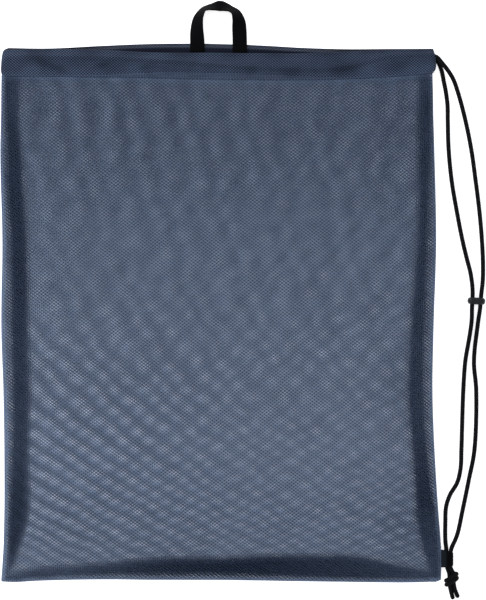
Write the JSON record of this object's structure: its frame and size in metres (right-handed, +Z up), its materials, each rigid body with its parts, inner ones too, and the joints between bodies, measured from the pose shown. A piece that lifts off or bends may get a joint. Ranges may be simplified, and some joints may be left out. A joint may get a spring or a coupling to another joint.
{
  "type": "mesh swim bag",
  "caption": "Large flat mesh drawcord bag laid on its back, with a corded channel round the mouth, webbing hang loop, cord stopper and knotted tab.",
  "frame": {"origin": "middle of the bag's body, on the underside of the back panel that lies on the surface", "axes": "+X across the bag towards the drawcord, +Y from the bottom seam to the mouth and the hang loop, +Z up from the surface"},
  "size_m": [0.5337, 0.6582, 0.0197],
  "materials": {
    "mesh_cloth": "open knitted polyester mesh, navy",
    "overlocked_seam": "overlocked mesh edge, dark navy",
    "webbing": "woven polypropylene webbing, black",
    "braided_cord": "braided polyester cord, black",
    "stopper_plastic": "moulded, satin black"
  },
  "bodies": {
    "root": {"back_panel": "mesh_cloth", "front_panel": "mesh_cloth", "mouth_channel": "mesh_cloth", "seam_left": "overlocked_seam", "seam_right": "overlocked_seam", "seam_bottom": "overlocked_seam", "hang_loop": "webbing", "cord_tab": "webbing", "channel_cord": "braided_cord", "drawcord_outer": "braided_cord", "drawcord_inner": "braided_cord", "cord_stopper": "stopper_plastic", "cord_knot": "braided_cord"}
  },
  "joints": []
}
